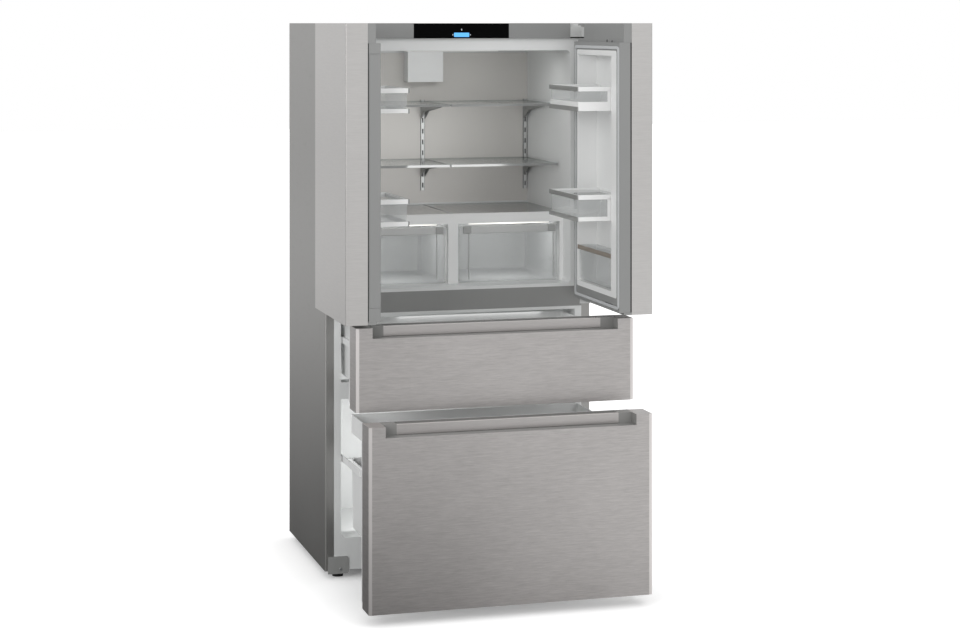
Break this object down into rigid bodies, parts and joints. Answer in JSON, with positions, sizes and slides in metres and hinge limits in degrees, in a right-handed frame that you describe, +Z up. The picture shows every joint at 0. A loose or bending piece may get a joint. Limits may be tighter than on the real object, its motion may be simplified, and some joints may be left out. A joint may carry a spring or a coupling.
{
  "type": "refrigerator",
  "caption": "Free-standing French-door refrigerator with two lower freezer drawers, shelves, crispers and door bins, shown with doors and drawers open.",
  "frame": {"origin": "on the floor, under the middle of the whole object's box as it stands open at rest", "axes": "+X to the right, +Y to the back, +Z up; the doors and drawers open towards -Y"},
  "size_m": [0.992, 1.21, 1.81],
  "materials": {
    "cabinet_paint": "satin grey coating on steel sheet",
    "rear_paint": "plain grey coating on steel sheet",
    "foam": "rigid foam, cut by its mould",
    "white_plastic": "smooth satin moulding",
    "grey_plastic": "fine matt moulding",
    "dark_plastic": "fine matt moulding",
    "black_plastic": "matt moulding",
    "clear_plastic": "clear moulding",
    "ribbed_plastic": "ribbed tinted moulding",
    "display_glass": "gloss black glass",
    "shelf_glass": "clear toughened glass",
    "stainless": "fine brushed grain",
    "hinge_steel": "grey powder coat",
    "shelf_paint": "light powder coat",
    "runner_paint": "thin white coating on steel",
    "zinc_steel": "zinc plated",
    "fin_aluminium": "thin plain sheet",
    "black_paint": "black enamel",
    "gasket_rubber": "soft grey extrusion",
    "lamp_cover": "milky lens"
  },
  "bodies": {
    "cabinet": {"cabinet_shell": "cabinet_paint", "rear_panels": "rear_paint", "cabinet_insulation": "foam", "fridge_liner": "white_plastic", "freezer_liner": "white_plastic", "front_fascias": "grey_plastic", "display_panel": "display_glass", "door_hinges": "hinge_steel", "rear_wall_panel": "stainless", "shelf_supports": "shelf_paint", "shelf_glass": "shelf_glass", "shelf_trims": "white_plastic", "filter_housing": "white_plastic", "crisper_frame": "white_plastic", "crisper_covers": "ribbed_plastic", "light_covers": "lamp_cover", "evaporator": "fin_aluminium", "evaporator_cover": "white_plastic", "fan_motor": "black_plastic", "compressor": "black_paint", "condenser": "fin_aluminium", "base_tray": "zinc_steel", "power_inlet": "black_plastic", "front_feet": "black_plastic", "corner_plates": "grey_plastic", "runner_fixed_members": "runner_paint"},
    "fan": {"fan_rotor": "dark_plastic"},
    "rollers": {"rear_rollers": "black_plastic"},
    "left_crisper": {"left_crisper": "clear_plastic"},
    "right_crisper": {"right_crisper": "clear_plastic"},
    "left_door": {"left_door_skin": "stainless", "left_door_insulation": "foam", "left_door_frame": "grey_plastic", "left_door_liner": "white_plastic", "left_door_gasket": "gasket_rubber", "left_door_bins": "clear_plastic"},
    "right_door": {"right_door_skin": "stainless", "right_door_insulation": "foam", "right_door_frame": "grey_plastic", "right_door_liner": "white_plastic", "right_door_gasket": "gasket_rubber", "right_door_bins": "clear_plastic"},
    "mullion": {"turning_mullion": "grey_plastic"},
    "upper_drawer": {"upper_drawer_skin": "stainless", "upper_drawer_recess": "dark_plastic", "upper_drawer_grip": "stainless", "upper_drawer_plate": "white_plastic", "upper_drawer_gasket": "gasket_rubber", "upper_drawer_box": "white_plastic", "upper_drawer_rails": "runner_paint"},
    "upper_runner": {"upper_runner_middle": "runner_paint"},
    "lower_drawer": {"lower_drawer_skin": "stainless", "lower_drawer_recess": "dark_plastic", "lower_drawer_grip": "stainless", "lower_drawer_plate": "white_plastic", "lower_drawer_gasket": "gasket_rubber", "lower_drawer_box": "white_plastic", "lower_drawer_rails": "runner_paint", "lower_drawer_tray": "white_plastic"},
    "lower_runner": {"lower_runner_middle": "runner_paint"}
  },
  "joints": [
    {"name": "left_door_hinge", "type": "hinge", "parent": "cabinet", "child": "left_door", "pos_m": [-0.437, -0.051, 0.889], "axis": [0, 0, -1], "range_deg": [-90, 25]},
    {"name": "right_door_hinge", "type": "hinge", "parent": "cabinet", "child": "right_door", "pos_m": [0.437, -0.051, 0.889], "axis": [0, 0, 1], "range_deg": [-90, 25]},
    {"name": "mullion_hinge", "type": "hinge", "parent": "left_door", "child": "mullion", "pos_m": [-0.385, -0.461, 0.941], "axis": [0, 0, -1], "range_deg": [-90, 0]},
    {"name": "upper_drawer_slide", "type": "slide", "parent": "cabinet", "child": "upper_drawer", "axis": [0, -1, 0], "range_m": [-0.323, 0.187]},
    {"name": "upper_runner_slide", "type": "slide", "parent": "cabinet", "child": "upper_runner", "axis": [0, -1, 0], "range_m": [-0.1615, 0.0935]},
    {"name": "lower_drawer_slide", "type": "slide", "parent": "cabinet", "child": "lower_drawer", "axis": [0, -1, 0], "range_m": [-0.495, 0.015]},
    {"name": "lower_runner_slide", "type": "slide", "parent": "cabinet", "child": "lower_runner", "axis": [0, -1, 0], "range_m": [-0.2475, 0.0075]},
    {"name": "left_crisper_slide", "type": "slide", "parent": "cabinet", "child": "left_crisper", "axis": [0, -1, 0], "range_m": [0, 0.3]},
    {"name": "right_crisper_slide", "type": "slide", "parent": "cabinet", "child": "right_crisper", "axis": [0, -1, 0], "range_m": [0, 0.3]},
    {"name": "fan_spin", "type": "hinge", "parent": "cabinet", "child": "fan", "pos_m": [0, 0.457, 0.7], "axis": [0, 1, 0], "continuous": true},
    {"name": "roller_spin", "type": "hinge", "parent": "cabinet", "child": "rollers", "pos_m": [0, 0.565, 0.015], "axis": [1, 0, 0], "continuous": true}
  ],
  "couplings": [
    {"joint": "upper_runner_slide", "follows": "upper_drawer_slide", "ratio": 0.5},
    {"joint": "lower_runner_slide", "follows": "lower_drawer_slide", "ratio": 0.5}
  ]
}
